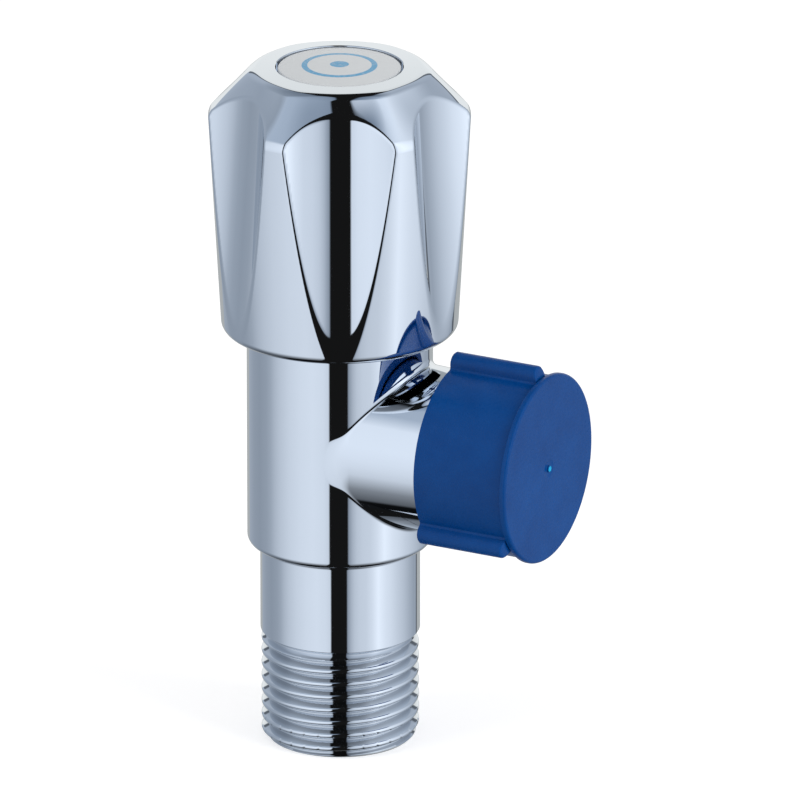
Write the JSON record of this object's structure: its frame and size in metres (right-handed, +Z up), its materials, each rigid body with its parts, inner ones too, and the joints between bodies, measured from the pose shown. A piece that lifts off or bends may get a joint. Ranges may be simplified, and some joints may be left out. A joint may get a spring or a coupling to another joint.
{
  "type": "angle valve",
  "caption": "Chromed quarter-turn angle valve: threaded inlet below, side outlet under a blue ribbed cap, and a tall fluted handwheel with a white index button.",
  "frame": {"origin": "centre of the inlet end face, which the valve also stands on", "axes": "+Z up the inlet and spindle axis towards the handwheel, +X along the outlet axis"},
  "size_m": [0.0471, 0.0346, 0.0941],
  "materials": {
    "chrome_body": "polished chrome plate on brass",
    "chrome_wheel": "polished chrome plate on die-cast zinc",
    "brass": "turned brass",
    "rubber": "smooth black nitrile",
    "white_plastic": "moulded acetal",
    "ceramic": "lapped alumina",
    "steel": "stainless steel",
    "button": "glossy white moulding with a plain blue ring",
    "blue_plastic": "satin injection moulded polyethylene"
  },
  "bodies": {
    "valve": {"valve_body": "chrome_body", "bonnet": "brass", "bonnet_o_ring": "rubber", "fixed_disc": "ceramic", "seat_seal": "rubber", "seal_support_ring": "white_plastic"},
    "handle": {"spindle": "brass", "spindle_o_ring_lower": "rubber", "spindle_o_ring_upper": "rubber", "thrust_washer": "white_plastic", "moving_disc": "ceramic", "stop_ring": "brass", "circlip": "steel", "handwheel": "chrome_wheel", "spline_insert": "white_plastic", "lock_washer": "steel", "handwheel_screw": "steel", "index_button": "button"},
    "cap": {"outlet_cap": "blue_plastic"}
  },
  "joints": [
    {"name": "handle_turn", "type": "hinge", "parent": "valve", "child": "handle", "pos_m": [0, 0, 0.0587], "axis": [0, 0, 1], "range_deg": [0, 90]},
    {"name": "cap_slide", "type": "slide", "parent": "valve", "child": "cap", "axis": [1, 0, 0], "range_m": [0, 0.015]}
  ]
}
